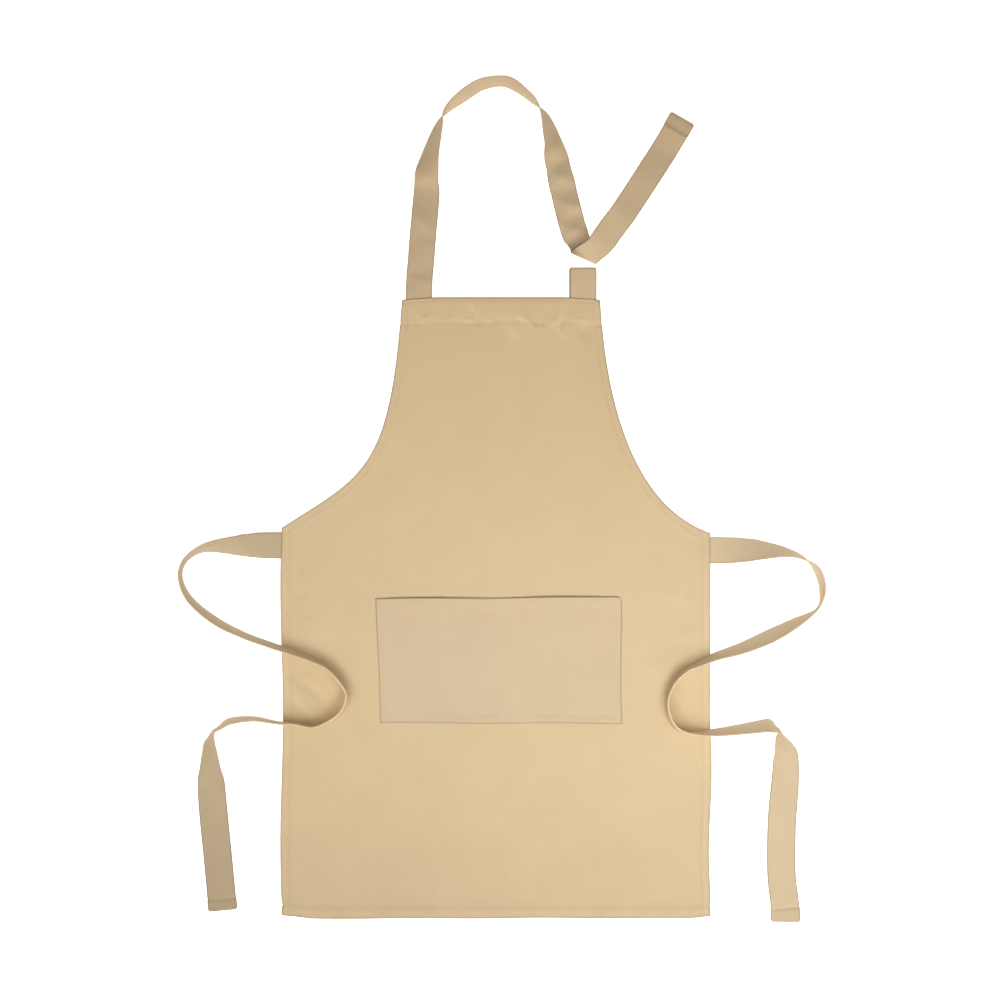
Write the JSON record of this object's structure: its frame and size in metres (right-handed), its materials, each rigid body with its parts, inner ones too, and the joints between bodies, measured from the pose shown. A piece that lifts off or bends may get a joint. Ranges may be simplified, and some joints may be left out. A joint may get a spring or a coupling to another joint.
{
  "type": "child's bib apron",
  "caption": "Bib apron in plain cloth with turned hems, a patch pocket in compartments, a neck strap that threads a loop tab, and waist ties.",
  "frame": {"origin": "back face of the body panel, on its centre line at the waist where the armholes end", "axes": "+Y towards the neck, +Z out of the front face, +X to the right as seen from the front"},
  "size_m": [0.6231, 0.8124, 0.029],
  "materials": {
    "body_cloth": "matt beige cotton twill",
    "pocket_cloth": "the same twill, a shade lighter as it lies",
    "strap_cloth": "the same twill folded into a flat strap",
    "thread": "matching spun sewing thread"
  },
  "bodies": {
    "body": {"apron_body": "body_cloth", "pocket_panel": "pocket_cloth", "bib_hem_thread": "thread", "bottom_hem_thread": "thread", "left_side_hem_thread": "thread", "right_side_hem_thread": "thread", "left_armhole_thread": "thread", "right_armhole_thread": "thread", "pocket_seam_thread": "thread", "pocket_divider_thread": "thread", "pocket_mouth_thread": "thread", "left_tie_anchor_thread": "thread", "right_tie_anchor_thread": "thread", "neck_strap_anchor_thread": "thread", "loop_tab_anchor_thread": "thread"},
    "neck_strap": {"neck_strap": "strap_cloth"},
    "strap_tail": {"strap_tail": "strap_cloth", "strap_tail_upper_thread": "thread", "strap_tail_lower_thread": "thread"},
    "loop_tab": {"loop_tab": "strap_cloth"},
    "left_tie": {"left_tie": "strap_cloth"},
    "left_tie_end": {"left_tie_end": "strap_cloth", "left_tie_end_thread": "thread"},
    "right_tie": {"right_tie": "strap_cloth"},
    "right_tie_end": {"right_tie_end": "strap_cloth", "right_tie_end_thread": "thread"}
  },
  "joints": [
    {"name": "neck_strap_lift", "type": "hinge", "parent": "body", "child": "neck_strap", "pos_m": [-0.0745, 0.2224, 0.0018], "axis": [1, 0, 0], "range_deg": [0, 90]},
    {"name": "strap_tail_unfold", "type": "hinge", "parent": "neck_strap", "child": "strap_tail", "pos_m": [0.0846, 0.26, 0.0018], "axis": [0.9093, -0.4161, 0], "range_deg": [0, 80]},
    {"name": "loop_tab_fold", "type": "hinge", "parent": "body", "child": "loop_tab", "pos_m": [0.084, 0.22215, 0.0044], "axis": [1, 0, 0], "range_deg": [0, 100]},
    {"name": "left_tie_lift", "type": "hinge", "parent": "body", "child": "left_tie", "pos_m": [-0.2066, -0.0043, 0.0018], "axis": [-1, 0, 0], "range_deg": [0, 120]},
    {"name": "left_tie_end_fold", "type": "hinge", "parent": "left_tie", "child": "left_tie_end", "pos_m": [-0.2738, -0.2504, 0.0018], "axis": [-1, 0, 0], "range_deg": [0, 120]},
    {"name": "right_tie_lift", "type": "hinge", "parent": "body", "child": "right_tie", "pos_m": [0.2066, -0.009, 0.0018], "axis": [-1, 0, 0], "range_deg": [0, 120]},
    {"name": "right_tie_end_fold", "type": "hinge", "parent": "right_tie", "child": "right_tie_end", "pos_m": [0.278, -0.2473, 0.0018], "axis": [-1, 0, 0], "range_deg": [0, 120]}
  ]
}
